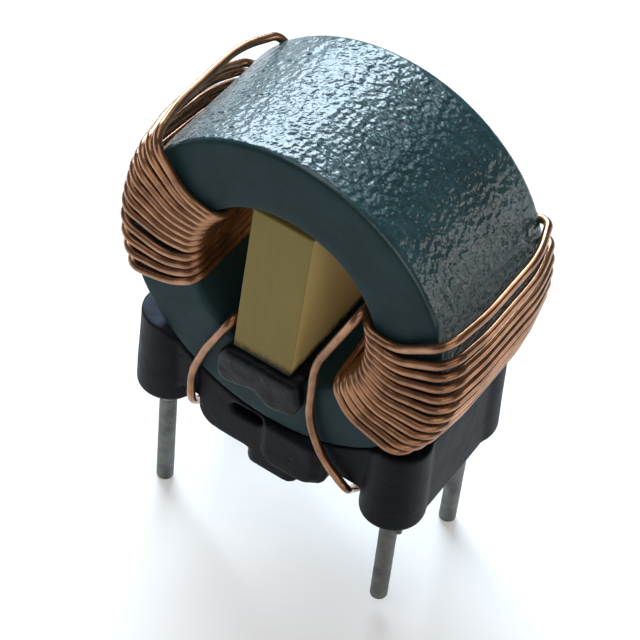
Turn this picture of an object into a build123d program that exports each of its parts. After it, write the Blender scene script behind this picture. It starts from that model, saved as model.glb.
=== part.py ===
from build123d import *
from math import cos, radians, sin, tan
import os

# Common mode choke: an upright toroidal ferrite core with two windings, in a moulded base
# with four round pins. Millimetres, +Z up, X along the long side of the pin pattern,
# front face towards -Y. The origin is the middle of the pin pattern on the seating plane,
# the plane of the two stand-off feet under the base.

# Pin pattern
PIN_PITCH_X = 15.24
PIN_PITCH_Y = 7.62
PIN_DIAMETER = 1.06
PIN_ROOT_DIAMETER = 1.0
PIN_BELOW_SEAT = 7.4
PIN_TIP_CHAMFER = 0.15
SHORT_PIN = "front_right"
SHORT_PIN_CUT = 0.7
PIN_GRIP = 4.6

# Ring core, coated
CORE_RADIUS = 10.0
BORE_RADIUS = 5.7
CORE_LENGTH = 10.14
CORE_EDGE = 0.55
CORE_EDGE_CHORDS = 2
BORE_EDGE = 0.3
CORE_Z = 14.6

# Moulded base
FOOT_Z = 1.4
POST_TOP_Z = 7.7
POST_RADIUS = 1.93
POST_TAPER = 1.6
POST_FOOT_EDGE = 0.4
WALL_SET_BACK = 0.22
WALL_HOLLOW = 0.5
YOKE_UNDERSIDE_Z = 3.2
YOKE_LENGTH = CORE_LENGTH - 0.04
SADDLE_CLEARANCE = 0.03
SKIRT_LEFT_X = -4.75
SKIRT_RIGHT_X = 3.9
SKIRT_FOOT_Z = 1.15
SKIRT_WALL = 1.0
SKIRT_CORNER = 1.3
LUG_LEFT_X = -0.3
LUG_RIGHT_X = 3.3
LUG_PROUD = 0.35
LUG_TOP_Z = 4.6
LUG_CORNER = 1.0
LUG_EDGE = 0.21
SLOT_LEFT_X = -2.55
SLOT_RIGHT_X = -0.45
SLOT_FLOOR_Z = 3.55
SLOT_HEIGHT = 0.75
SLOT_DEPTH = 1.2
STANDOFF_LEFT_X = -1.6
STANDOFF_RIGHT_X = 1.9
STANDOFF_DEPTH = 3.1
STANDOFF_CORNER = 0.75
STANDOFF_EDGE = 0.12
STANDOFF_ROOT = 0.2

# Divider between the windings
DIVIDER_THICKNESS = 3.75
DIVIDER_CLEARANCE = 0.068
DIVIDER_FRONT_BOTTOM_Y = -5.42
DIVIDER_FRONT_TOP_Y = -4.74
DIVIDER_BACK_Y = 5.2
DIVIDER_X = -0.55
DIVIDER_TILT = 1.0

# Enamelled wire and the two windings
WIRE_DIAMETER = 0.5
WIRE_GAP = 0.04
WIRE_SIDES = 8
WIRE_SECTION_SCALE = 1.03
CHORD_ANGLE = 40.0
TURNS = 12
BORE_STEP = 5.6
RIGHT_FIRST_BORE = 18.6
LEFT_FIRST_BORE = 199.1
MIDDLE_RADIUS = 7.3
RIGHT_SAG = 8.6
RIGHT_SAG_FALL = 1.2
LEFT_SAG = -6.0
BEND_BORE = 0.7
BEND_OUTSIDE = 0.85
BEND_FRONT_EDGE = 1.2
BEND_RUN = 10.0
BEND_MIDDLE = 1.6
BEND_LEAD = 6.0
BEND_SHARE = 0.45
BOW_Y = 2.6
TOP_BOW = 1.1
BOW_FADE = 0.15
USUAL_BOW_RIGHT = 0.62
USUAL_BOW_LEFT = 0.3
BOW_AT_EDGE = 0.5
BOW_OVER_FACE = 0.25
LEFT_SLANT = 1.8
LEFT_SLANT_MOST = 14.4
LEAD_STAND_OFF = 0.08
HOOK_BEND = 0.45
HOOK_GAP = 0.01
TAIL_GAP = 0.05
TAIL_PAST_PIN = 0.35
STUB_DROP = 0.75

# Adhesive and solder
GLUE_THICKNESS = 0.8
GLUE_DEPTH = 1.9
GLUE_ROUND = 0.3
GLUE_EDGE = 0.25
WEDGE_WIDTH = 4.9
WEDGE_HEIGHT = 0.7
WEDGE_RISE = 0.3
WEDGE_X = -0.45
SOLDER_RADIUS = 1.2
SOLDER_TIP_RADIUS = 0.8
SOLDER_HEIGHT = 1.3

# Derived places
PIN_X = PIN_PITCH_X / 2
PIN_Y = PIN_PITCH_Y / 2
PIN_RADIUS = PIN_DIAMETER / 2
PIN_ROOT_RADIUS = PIN_ROOT_DIAMETER / 2
WIRE_RADIUS = WIRE_DIAMETER / 2
WIRE_OFFSET = WIRE_RADIUS + WIRE_GAP
FACE_Y = CORE_LENGTH / 2
RUN_Y = FACE_Y + WIRE_OFFSET
LEAD_Y = RUN_Y + LEAD_STAND_OFF
BORE_RUN_RADIUS = BORE_RADIUS - WIRE_OFFSET
OUTER_RUN_RADIUS = CORE_RADIUS + WIRE_OFFSET
DIVIDER_REACH = DIVIDER_THICKNESS / 2 + abs(DIVIDER_X)
DIVIDER_HEIGHT = 2 * ((BORE_RADIUS**2 - DIVIDER_REACH**2) ** 0.5 - DIVIDER_CLEARANCE)
BORE_BOTTOM = -BORE_RADIUS
TAIL_Z = FOOT_Z - WIRE_RADIUS - TAIL_GAP
SOLDER_Z = FOOT_Z - SOLDER_HEIGHT
HOOK = PIN_RADIUS + WIRE_RADIUS + HOOK_GAP


def on_ring(radius, angle, y):
    """A point given by its distance and angle from the core's axis."""
    a = radians(angle)
    return (radius * cos(a), y, CORE_Z + radius * sin(a))


def ring_core():
    """The coated core: a ring of square section, rounded outside in two chords, bevelled in the bore."""
    rounded = [radians(90 * k / CORE_EDGE_CHORDS) for k in range(CORE_EDGE_CHORDS + 1)]
    inset = CORE_EDGE
    upper = [(CORE_RADIUS - inset + inset * cos(a), FACE_Y - inset + inset * sin(a)) for a in rounded]
    bore = [(BORE_RADIUS + BORE_EDGE, FACE_Y), (BORE_RADIUS, FACE_Y - BORE_EDGE)]
    half = upper + bore
    section = make_face(Polyline(*half, *[(r, -y) for r, y in half[::-1]], close=True))
    return Pos(0, 0, CORE_Z) * revolve(section, Axis.Y)


def saddle_cutter():
    """The round bed that the core lies in."""
    bed = Cylinder(CORE_RADIUS + SADDLE_CLEARANCE, 2 * (PIN_PITCH_Y + POST_RADIUS), rotation=(90, 0, 0))
    return Pos(0, 0, CORE_Z) * bed


def side_block(side):
    """One end of the base: two round posts joined by a slightly thinner wall, tapered towards the top."""
    outline = Rectangle(2 * (POST_RADIUS - WALL_SET_BACK), PIN_PITCH_Y)
    for y in (-PIN_Y, PIN_Y):
        outline += Pos(0, y) * Circle(POST_RADIUS)
    hollows = [v for v in outline.vertices() if abs(v.Y) < PIN_Y]
    outline = Plane.XY.offset(FOOT_Z) * fillet(hollows, WALL_HOLLOW)
    block = extrude(outline, POST_TOP_Z - FOOT_Z, taper=POST_TAPER)
    block = chamfer(block.edges().group_by(Axis.Z)[0], POST_FOOT_EDGE)
    return Pos(side * PIN_X, 0, 0) * block


def front_skirt():
    """Front wall under the yoke, with the raised lug on its right half."""
    wall_y = -YOKE_LENGTH / 2
    width = SKIRT_RIGHT_X - SKIRT_LEFT_X
    height = POST_TOP_Z - SKIRT_FOOT_Z
    wall = Box(width, SKIRT_WALL, height)
    wall = Pos((SKIRT_LEFT_X + SKIRT_RIGHT_X) / 2, wall_y + SKIRT_WALL / 2, SKIRT_FOOT_Z + height / 2) * wall
    lower_corners = wall.edges().filter_by(Axis.Y).group_by(Axis.Z)[0]
    wall = fillet(lower_corners, SKIRT_CORNER)
    lug_height = LUG_TOP_Z - SKIRT_FOOT_Z
    lug_depth = LUG_PROUD + SKIRT_WALL / 2
    lug_y = wall_y - LUG_PROUD + lug_depth / 2
    lug = Box(LUG_RIGHT_X - LUG_LEFT_X, lug_depth, lug_height)
    lug = Pos((LUG_LEFT_X + LUG_RIGHT_X) / 2, lug_y, SKIRT_FOOT_Z + lug_height / 2) * lug
    lug = fillet(lug.edges().filter_by(Axis.Y).group_by(Axis.Z)[0], LUG_CORNER)
    lug = chamfer(lug.faces().sort_by(Axis.Y)[0].edges(), LUG_EDGE)
    return wall + lug


def slot_cutter():
    """The blind slot in the front wall, left of the lug and just under the core."""
    width = SLOT_RIGHT_X - SLOT_LEFT_X
    mouth = Plane.XZ * SlotOverall(width, SLOT_HEIGHT)
    place = Pos((SLOT_LEFT_X + SLOT_RIGHT_X) / 2, -YOKE_LENGTH / 2, SLOT_FLOOR_Z + SLOT_HEIGHT / 2)
    return place * extrude(mouth, SLOT_DEPTH, both=True)


def standoff():
    """Rounded foot under the front wall that sets the seating plane."""
    width = STANDOFF_RIGHT_X - STANDOFF_LEFT_X
    height = YOKE_UNDERSIDE_Z + STANDOFF_ROOT
    foot = extrude(RectangleRounded(width, STANDOFF_DEPTH, STANDOFF_CORNER), height)
    foot = chamfer(foot.edges().group_by(Axis.Z)[0], STANDOFF_EDGE)
    return Pos((STANDOFF_LEFT_X + STANDOFF_RIGHT_X) / 2, (STANDOFF_DEPTH - YOKE_LENGTH) / 2, 0) * foot


def moulded_base():
    """Saddle, yoke, posts, walls and feet in one moulding; the back is the front turned half round."""
    yoke_height = POST_TOP_Z - YOKE_UNDERSIDE_Z
    body = Pos(0, 0, YOKE_UNDERSIDE_Z + yoke_height / 2) * Box(PIN_PITCH_X, YOKE_LENGTH, yoke_height)
    for side in (-1, 1):
        body += side_block(side)
    for turn in (0, 180):
        body += Rot(0, 0, turn) * front_skirt()
    body -= saddle_cutter()
    for turn in (0, 180):
        body -= Rot(0, 0, turn) * slot_cutter()
        body += Rot(0, 0, turn) * standoff()
    for x, y in pin_places().values():
        body -= Pos(x, y, FOOT_Z + PIN_GRIP / 2) * Cylinder(PIN_ROOT_RADIUS, PIN_GRIP)
    return body


def pin_places():
    """Name and place of each pin."""
    return {
        "front_left": (-PIN_X, -PIN_Y),
        "front_right": (PIN_X, -PIN_Y),
        "back_left": (-PIN_X, PIN_Y),
        "back_right": (PIN_X, PIN_Y),
    }


def pin(x, y, below_seat):
    """Round pin, tinned from its tip to the solder, its bare root pressed into the post from below."""
    tinned_length = SOLDER_Z + below_seat
    tinned = Cylinder(PIN_RADIUS, tinned_length)
    tinned = chamfer(tinned.edges().group_by(Axis.Z)[0], PIN_TIP_CHAMFER)
    root_length = FOOT_Z + PIN_GRIP - SOLDER_Z
    root = Pos(0, 0, SOLDER_Z + root_length / 2) * Cylinder(PIN_ROOT_RADIUS, root_length)
    return Pos(x, y, 0) * (Pos(0, 0, SOLDER_Z - tinned_length / 2) * tinned + root)


def divider():
    """Thick fibre plate that stands in the bore, its front end cut a little out of square."""
    half = DIVIDER_HEIGHT / 2
    side_view = make_face(Polyline(
        (DIVIDER_FRONT_BOTTOM_Y, -half), (DIVIDER_BACK_Y, -half),
        (DIVIDER_BACK_Y, half), (DIVIDER_FRONT_TOP_Y, half), close=True))
    plate = extrude(Plane.YZ * side_view, DIVIDER_THICKNESS / 2, both=True)
    return Pos(DIVIDER_X, 0, CORE_Z) * Rot(0, DIVIDER_TILT, 0) * plate


def turn_angles(side):
    """Angles of each turn: in the bore, halfway over the front face, at the front and back edges."""
    first_bore = RIGHT_FIRST_BORE if side > 0 else LEFT_FIRST_BORE
    outside = right_outside() if side > 0 else left_outside()
    angles = []
    for k in range(TURNS):
        bore = first_bore - BORE_STEP * k
        sag = RIGHT_SAG - RIGHT_SAG_FALL * k / (TURNS - 1) if side > 0 else LEFT_SAG
        middle = (bore + outside[k]) / 2 - sag
        slant = min(LEFT_SLANT * k, LEFT_SLANT_MOST) if side < 0 and k < TURNS - 1 else 0
        angles.append((bore, middle, outside[k], outside[k] + slant))
    return angles


def right_outside():
    """One loose turn at the top, then the rest fanned evenly."""
    loose, first, step = 20.5, 13.5, 5.05
    return [loose] + [first - step * k for k in range(TURNS - 1)]


def left_outside():
    """Four open turns at the bottom, a gap, then eight closer ones."""
    open_turns, bottom, open_step = 4, 199.0, 6.2
    top_of_rest, close_step = 174.0, 5.0
    lower = [bottom - open_step * k for k in range(open_turns)]
    return lower + [top_of_rest - close_step * k for k in range(TURNS - open_turns)]


def run_bow(side, turn):
    """How far a turn bows off the core in the middle of its outer run, most at the winding's top."""
    from_top = turn if side > 0 else TURNS - 1 - turn
    usual = USUAL_BOW_RIGHT if side > 0 else USUAL_BOW_LEFT
    return max(usual, TOP_BOW - BOW_FADE * from_top)


def outer_run(bow, front_angle, back_angle):
    """Corners of one turn over the outside of the core, from its back edge to its front edge."""
    def between(y):
        return front_angle + (back_angle - front_angle) * (RUN_Y + y) / (2 * RUN_Y)

    bowed = OUTER_RUN_RADIUS + bow
    front_radius = OUTER_RUN_RADIUS + BOW_AT_EDGE * bow
    front_y = -RUN_Y - BOW_OVER_FACE * bow
    return [
        (on_ring(OUTER_RUN_RADIUS, back_angle, RUN_Y), BEND_OUTSIDE),
        (on_ring(bowed, between(BOW_Y), BOW_Y), BEND_RUN),
        (on_ring(bowed, between(-BOW_Y), -BOW_Y), BEND_RUN),
        (on_ring(front_radius, front_angle, front_y), BEND_FRONT_EDGE),
    ]


def wound_corners(side):
    """Corners of the wound part, each with its bend, from the back face to the bore."""
    corners = []
    for k, (bore, middle, front, back) in enumerate(turn_angles(side)):
        corners += outer_run(run_bow(side, k), front, back)
        corners += [
            (on_ring(MIDDLE_RADIUS, middle, -RUN_Y), BEND_MIDDLE),
            (on_ring(BORE_RUN_RADIUS, bore, -RUN_Y), BEND_BORE),
            (on_ring(BORE_RUN_RADIUS, bore, RUN_Y), BEND_BORE),
        ]
    return corners


def pin_tail(side, stub_drop):
    """Wire end hooked round the root of a front pin, from its cut end to under the yoke."""
    x, y = side * PIN_X, -PIN_Y
    outer_x = x + side * HOOK
    end_y = y - TAIL_PAST_PIN
    tail = [
        ((side * 5.2, -4.3, 1.75), BEND_LEAD),
        ((side * 5.5, y + HOOK, TAIL_Z), BEND_LEAD),
        ((outer_x, y + HOOK, TAIL_Z), HOOK_BEND),
        ((outer_x, end_y, TAIL_Z), HOOK_BEND),
    ]
    if stub_drop:
        tail.append(((outer_x, end_y - 0.05, TAIL_Z - stub_drop), HOOK_BEND))
    return tail[::-1]


def upper_lead(side, stub_drop):
    """Front lead of a winding that starts at the top of the bore and crosses its opening."""
    down = [
        ((side * 4.75, -RUN_Y, CORE_Z + 2.1), BEND_BORE),
        ((side * 2.66, -LEAD_Y, CORE_Z - 3.0), BEND_LEAD),
        ((side * 2.64, -LEAD_Y, CORE_Z - 7.5), BEND_LEAD),
        ((side * 3.75, -LEAD_Y, CORE_Z - 10.0), BEND_LEAD),
        ((side * 5.5, -LEAD_Y, CORE_Z - 11.5), BEND_LEAD),
    ]
    return pin_tail(side, stub_drop) + down[::-1]


def lower_lead(side, stub_drop):
    """Front lead of a winding that leaves the bore low down, beside the divider."""
    down = [
        ((side * 2.85, -RUN_Y, CORE_Z - 3.6), BEND_BORE),
        ((side * 4.25, -LEAD_Y, CORE_Z - 6.6), BEND_LEAD),
        ((side * 5.07, -LEAD_Y, CORE_Z - 9.1), BEND_LEAD),
        ((side * 5.0, -LEAD_Y, CORE_Z - 11.45), BEND_LEAD),
    ]
    return pin_tail(side, stub_drop) + down[::-1]


def to_back(lead):
    """The same lead on the back face: turned half round the upright axis and run outwards."""
    return [((-x, -y, z), bend) for (x, y, z), bend in lead[::-1]]


def winding_corners(side):
    """Whole route of one winding's wire, from its front pin to its back pin."""
    if side > 0:
        front = upper_lead(side, STUB_DROP)
        back = to_back(lower_lead(-side, 0))
    else:
        front = lower_lead(side, 0)
        back = to_back(upper_lead(-side, 0))
    (x, y, z), bend = front[-1]
    entry = [((x, -y, z), bend)]
    return front + entry + wound_corners(side)[:-1] + back


def bend_radius(before, corner, after, wanted):
    """The wanted bend, or less where the two runs are too short for it."""
    into = Vector(*corner) - Vector(*before)
    out = Vector(*after) - Vector(*corner)
    half_turn = radians(into.get_angle(out)) / 2
    return min(wanted, BEND_SHARE * min(into.length, out.length) / tan(half_turn))


def bend_chords(before, corner, after, wanted):
    """Points round one bend: the corners of a tangent polygon about its arc."""
    radius = bend_radius(before, corner, after, wanted)
    corner = Vector(*corner)
    into = (corner - Vector(*before)).normalized()
    out = (Vector(*after) - corner).normalized()
    turn = radians(into.get_angle(out))
    count = max(1, round(turn / radians(CHORD_ANGLE)))
    inward = (out - into * into.dot(out)).normalized()
    centre = corner - into * (radius * tan(turn / 2)) + inward * radius
    reach = radius / cos(turn / count / 2)
    angles = [turn * (k + 0.5) / count for k in range(count)]
    return [centre + into * (reach * sin(a)) - inward * (reach * cos(a)) for a in angles]


def winding(side):
    """One continuous wire, swept along its runs and the chords of its bends."""
    route = winding_corners(side)
    points = [place for place, bend in route]
    path = [Vector(*points[0])]
    for i in range(1, len(points) - 1):
        path += bend_chords(points[i - 1], points[i], points[i + 1], route[i][1])
    path = Polyline(*path, Vector(*points[-1]))
    section = RegularPolygon(WIRE_RADIUS * WIRE_SECTION_SCALE, WIRE_SIDES)
    return sweep(Plane(origin=path @ 0, z_dir=path % 0) * section, path, transition=Transition.RIGHT)


def glue_outline():
    """Edge of the adhesive that has run over the core's face, measured from the bottom of the bore."""
    corners = [
        (-2.8, 0.5), (-3.35, -0.3), (-3.4, -1.7), (-2.9, -2.35), (-1.9, -2.15), (-0.9, -1.8),
        (0.1, -2.5), (1.75, -2.2), (2.2, -1.1), (1.95, 0.5),
    ]
    face = make_face(Polyline(*[(x, BORE_BOTTOM + rise) for x, rise in corners], close=True))
    return fillet(face.vertices(), GLUE_ROUND)


def glue_bead(core, plate):
    """Adhesive at the divider's foot: a wedge in the bore and a lip over the core's face."""
    lip = extrude(Plane.XZ * glue_outline(), GLUE_THICKNESS)
    lip = chamfer(lip.faces().sort_by(Axis.Y)[0].edges(), GLUE_EDGE)
    lip = Pos(0, -FACE_Y, CORE_Z) * lip
    wedge = Box(WEDGE_WIDTH, GLUE_DEPTH, WEDGE_HEIGHT)
    wedge = Pos(WEDGE_X, GLUE_DEPTH / 2 - FACE_Y, CORE_Z + BORE_BOTTOM + WEDGE_RISE) * wedge
    return lip + wedge - core - plate


def solder_joint(x, y, wire):
    """Cone of solder under the post, cast round the pin and the hooked wire."""
    cone = Cone(SOLDER_TIP_RADIUS, SOLDER_RADIUS, SOLDER_HEIGHT)
    joint = Pos(x, y, SOLDER_Z + SOLDER_HEIGHT / 2) * cone
    joint -= Pos(x, y, 0) * Cylinder(PIN_ROOT_RADIUS, 4 * SOLDER_HEIGHT)
    return joint - wire


if __name__ == "__main__":
    os.makedirs("parts", exist_ok=True)
    core = ring_core()
    plate = divider()
    bead = glue_bead(core, plate)
    windings = {"left": winding(-1), "right": winding(1)}
    parts = {
        "toroid_core": core,
        "base": moulded_base(),
        "divider_plate": plate,
        "glue_bead_front": bead,
        "glue_bead_back": glue_bead(core, Rot(0, 0, 180) * plate).rotate(Axis.Z, 180),
    }
    for name, wire in windings.items():
        parts[f"winding_{name}"] = wire
    for place, (x, y) in pin_places().items():
        below_seat = PIN_BELOW_SEAT - (SHORT_PIN_CUT if place == SHORT_PIN else 0)
        parts[f"pin_{place}"] = pin(x, y, below_seat)
        parts[f"solder_{place}"] = solder_joint(x, y, windings[place.split("_")[1]])
    for name, solid in parts.items():
        solid.label = name
        export_step(solid, f"parts/{name}.step")
        print(name, "volume", round(solid.volume, 2), "valid", solid.is_valid)
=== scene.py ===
"""A common mode choke: a coated ring core with two windings, on a moulded base with four pins."""
import logging
from dataclasses import dataclass
from enum import Enum
from math import cos, pi, radians, sin, tan
from typing import Callable, Optional, Sequence, Union

import bmesh
import bpy
from mathutils import Matrix, Vector, noise


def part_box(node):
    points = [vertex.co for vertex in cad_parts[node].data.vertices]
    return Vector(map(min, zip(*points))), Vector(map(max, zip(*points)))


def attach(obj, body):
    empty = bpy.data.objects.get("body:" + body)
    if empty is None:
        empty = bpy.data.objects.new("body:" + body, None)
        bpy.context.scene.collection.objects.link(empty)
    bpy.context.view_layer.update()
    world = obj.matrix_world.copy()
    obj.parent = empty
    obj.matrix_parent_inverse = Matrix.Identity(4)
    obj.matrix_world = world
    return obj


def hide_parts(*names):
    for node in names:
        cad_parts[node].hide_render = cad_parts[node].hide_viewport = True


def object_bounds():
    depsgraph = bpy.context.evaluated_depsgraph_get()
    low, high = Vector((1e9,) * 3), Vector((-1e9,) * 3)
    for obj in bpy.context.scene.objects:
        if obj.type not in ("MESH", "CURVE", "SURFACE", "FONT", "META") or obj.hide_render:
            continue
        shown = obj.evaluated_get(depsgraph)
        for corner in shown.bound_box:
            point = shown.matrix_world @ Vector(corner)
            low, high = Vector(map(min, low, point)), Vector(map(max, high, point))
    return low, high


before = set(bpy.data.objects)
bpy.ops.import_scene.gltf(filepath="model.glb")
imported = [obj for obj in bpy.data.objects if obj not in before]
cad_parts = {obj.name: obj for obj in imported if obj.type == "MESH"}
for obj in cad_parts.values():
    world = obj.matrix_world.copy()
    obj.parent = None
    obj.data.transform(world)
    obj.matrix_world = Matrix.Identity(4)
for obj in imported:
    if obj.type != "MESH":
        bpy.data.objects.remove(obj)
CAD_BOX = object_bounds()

log = logging.getLogger("choke")

Number = Union[int, float]
Span = tuple[float, float]
Triple = tuple[float, float, float]
Colour = Triple
Anchor = tuple[Vector, Vector, Vector]

MM = 0.001
BODY = "root"

# The core's axis is CORE_Z above the board, and the pins stand PIN_X and PIN_Y from the origin
CORE_Z = 14.6 * MM
PIN_X = 7.62 * MM
PIN_Y = 3.81 * MM
PIN_RADIUS = 0.53 * MM
WELD = 0.001 * MM


class Slot(Enum):
    """Material slots of the record, one for each finish of the pieces."""

    COAT = "core_coat"
    WIRE = "copper_wire"
    FIBRE = "divider_fibre"
    PLASTIC = "base_plastic"
    GLUE = "black_glue"
    PIN = "tinned_pin"
    SOLDER = "solder"


class Side(Enum):
    """Left or right, as the photographed face is seen, with its sign on the long axis."""

    LEFT = -1
    RIGHT = 1


class End(Enum):
    """Front or back, by its word in the names of nodes."""

    FRONT = "front"
    BACK = "back"


class Stray(Enum):
    """What of a turn strays a little from its even place."""

    FACE = 1
    BOW = 2
    BACK = 3


# Shader building


class Link:
    """A value socket of a shader tree; arithmetic on it adds Math nodes."""

    def __init__(self, shader: "Shader", socket: bpy.types.NodeSocket) -> None:
        """Keeps the tree and one of its output sockets."""
        self.shader = shader
        self.socket = socket

    def math(self, operation: str, *others: "Operand", first: Optional["Operand"] = None) -> "Link":
        """Adds a Math node on this value and the others, or on first and this one in a reflected form."""
        operands = [self, *others] if first is None else [first, self]
        return self.shader.node("ShaderNodeMath", {"operation": operation}, dict(enumerate(operands)))

    def __add__(self, other: "Operand") -> "Link":
        """Sum."""
        return self.math("ADD", other)

    def __radd__(self, other: "Operand") -> "Link":
        """Sum with a number first."""
        return self.math("ADD", first=other)

    def __sub__(self, other: "Operand") -> "Link":
        """Difference."""
        return self.math("SUBTRACT", other)

    def __rsub__(self, other: "Operand") -> "Link":
        """Difference with a number first."""
        return self.math("SUBTRACT", first=other)

    def __mul__(self, other: "Operand") -> "Link":
        """Product."""
        return self.math("MULTIPLY", other)

    def __rmul__(self, other: "Operand") -> "Link":
        """Product with a number first."""
        return self.math("MULTIPLY", first=other)

    def __pow__(self, other: "Operand") -> "Link":
        """Power."""
        return self.math("POWER", other)

    def step(self, low: Number, high: Number) -> "Link":
        """A smooth rise from 0 to 1 between two values, or a fall where low is above high.

        Args:
            low: the value that gives 0.
            high: the value that gives 1.

        Returns:
            The smoothed value.
        """
        start, end = (low, high) if low < high else (high, low)
        to_min, to_max = (0.0, 1.0) if low < high else (1.0, 0.0)
        return self.shader.node(
            "ShaderNodeMapRange",
            {"interpolation_type": "SMOOTHSTEP"},
            {"Value": self, "From Min": start, "From Max": end, "To Min": to_min, "To Max": to_max},
        )


Operand = Union[Link, Number]
Value = Union[Link, Number, Colour]


class Shader:
    """One procedural material and its node tree."""

    # The Mix node's sockets that take and give colours
    MIX_LOW = 6
    MIX_HIGH = 7
    MIX_RESULT = 2

    def __init__(self, name: str) -> None:
        """Starts an empty material.

        Args:
            name: the material's name.
        """
        self.material = bpy.data.materials.new(name)
        self.material.use_nodes = True
        self.tree = self.material.node_tree
        self.tree.nodes.clear()
        self.output = self.tree.nodes.new("ShaderNodeOutputMaterial")

    def node(
        self, kind: str, settings: Optional[dict] = None, inputs: Optional[dict] = None,
        out: Union[int, str] = 0,
    ) -> Link:
        """Adds a node of any kind.

        Args:
            kind: the node's type.
            settings: attributes to set first.
            inputs: values or links of its sockets, by name or number.
            out: the output to return, by name or number.

        Returns:
            The chosen output.
        """
        made = self.tree.nodes.new(kind)
        for key, value in (settings or {}).items():
            setattr(made, key, value)
        for key, value in (inputs or {}).items():
            if isinstance(value, Link):
                self.tree.links.new(value.socket, made.inputs[key])
            else:
                made.inputs[key].default_value = value
        return Link(self, made.outputs[out])

    def place(self) -> Link:
        """Object coordinates."""
        return self.node("ShaderNodeTexCoord", out="Object")

    def axes(self) -> tuple[Link, Link, Link]:
        """Splits the object coordinates.

        Returns:
            Their x, y and z.
        """
        split = self.node("ShaderNodeSeparateXYZ", inputs={0: self.place()})
        x, y, z = split.socket.node.outputs
        return Link(self, x), Link(self, y), Link(self, z)

    def from_axis(self) -> Link:
        """Measures how far a place is from the core's axis.

        Returns:
            The distance, in metres.
        """
        x, _, z = self.axes()
        height = z - CORE_Z
        return (x * x + height * height) ** 0.5

    def facing(self, axis: str) -> Link:
        """How far the surface faces along an axis, X, Y or Z, from -1 to 1."""
        normal = self.node("ShaderNodeTexCoord", out="Normal")
        return self.node("ShaderNodeSeparateXYZ", inputs={0: normal}, out=axis)

    def seen(self) -> Link:
        """Tells the rays by which a surface is seen from those by which it only gives light.

        Returns:
            1 on the first and 0 on the others.
        """
        kinds = ("Is Camera Ray", "Is Glossy Ray", "Is Transmission Ray")
        camera, glossy, through = (self.node("ShaderNodeLightPath", out=kind) for kind in kinds)
        return camera.math("MAXIMUM", glossy).math("MAXIMUM", through)

    def stretched(self, scale: Triple) -> Link:
        """Object coordinates multiplied by a factor for each of x, y and z."""
        return self.node("ShaderNodeVectorMath", {"operation": "MULTIPLY"}, {0: self.place(), 1: scale})

    def grain(self, size: float, detail: float = 2.0, rough: float = 0.5, at: Optional[Link] = None) -> Link:
        """Noise from 0 to 1.

        Args:
            size: the size of its features, in metres.
            detail: how many finer layers it has.
            rough: how strong they are.
            at: coordinates to read instead of the object's.

        Returns:
            The noise.
        """
        return self.node(
            "ShaderNodeTexNoise",
            inputs={"Vector": at or self.place(), "Scale": 1 / size, "Detail": detail, "Roughness": rough},
        )

    def cells(self, spacing: float) -> Link:
        """Distance to the nearest of scattered points, in spacings, for a mean spacing in metres."""
        return self.node("ShaderNodeTexVoronoi", inputs={"Vector": self.place(), "Scale": 1 / spacing})

    def blend(self, factor: Operand, low: Union[Link, Colour], high: Union[Link, Colour]) -> Link:
        """A colour between two others.

        Args:
            factor: 0 for the first, 1 for the second.
            low: the first colour.
            high: the second colour.

        Returns:
            The mixed colour.
        """
        ends = [c if isinstance(c, Link) else (*c, 1.0) for c in (low, high)]
        inputs = {0: factor, self.MIX_LOW: ends[0], self.MIX_HIGH: ends[1]}
        return self.node("ShaderNodeMix", {"data_type": "RGBA"}, inputs, out=self.MIX_RESULT)

    def relief(self, height: Link, depth: float, under: Optional[Link] = None) -> Link:
        """A bumped normal.

        Args:
            height: the height, from 0 to 1.
            depth: what a height of 1 stands for, in metres.
            under: another relief that this one lies on.

        Returns:
            The normal.
        """
        inputs = {"Height": height, "Distance": depth, "Strength": 1.0}
        if under is not None:
            inputs["Normal"] = under
        return self.node("ShaderNodeBump", inputs=inputs)

    def principled(self, **sockets: Value) -> Link:
        """A Principled surface.

        Args:
            sockets: values or links of its sockets, with _ for a space in their names.

        Returns:
            Its output.
        """
        inputs = {}
        for key, value in sockets.items():
            plain_colour = key.endswith("Color") and not isinstance(value, Link)
            inputs[key.replace("_", " ")] = (*value, 1.0) if plain_colour else value
        return self.node("ShaderNodeBsdfPrincipled", inputs=inputs)

    def mixed(self, factor: Link, first: Link, second: Link) -> Link:
        """Two surfaces mixed, the first at 0 and the second at 1."""
        return self.node("ShaderNodeMixShader", inputs={0: factor, 1: first, 2: second})

    def finish(self, surface: Link) -> bpy.types.Material:
        """Finishes the material with a surface."""
        self.tree.links.new(surface.socket, self.output.inputs["Surface"])
        return self.material

    def surface(self, **sockets: Value) -> bpy.types.Material:
        """Finishes the material with one Principled surface, given as in principled."""
        return self.finish(self.principled(**sockets))


# Finishes: a Span is the pair of values between which a mask rises from 0 to 1


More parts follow.
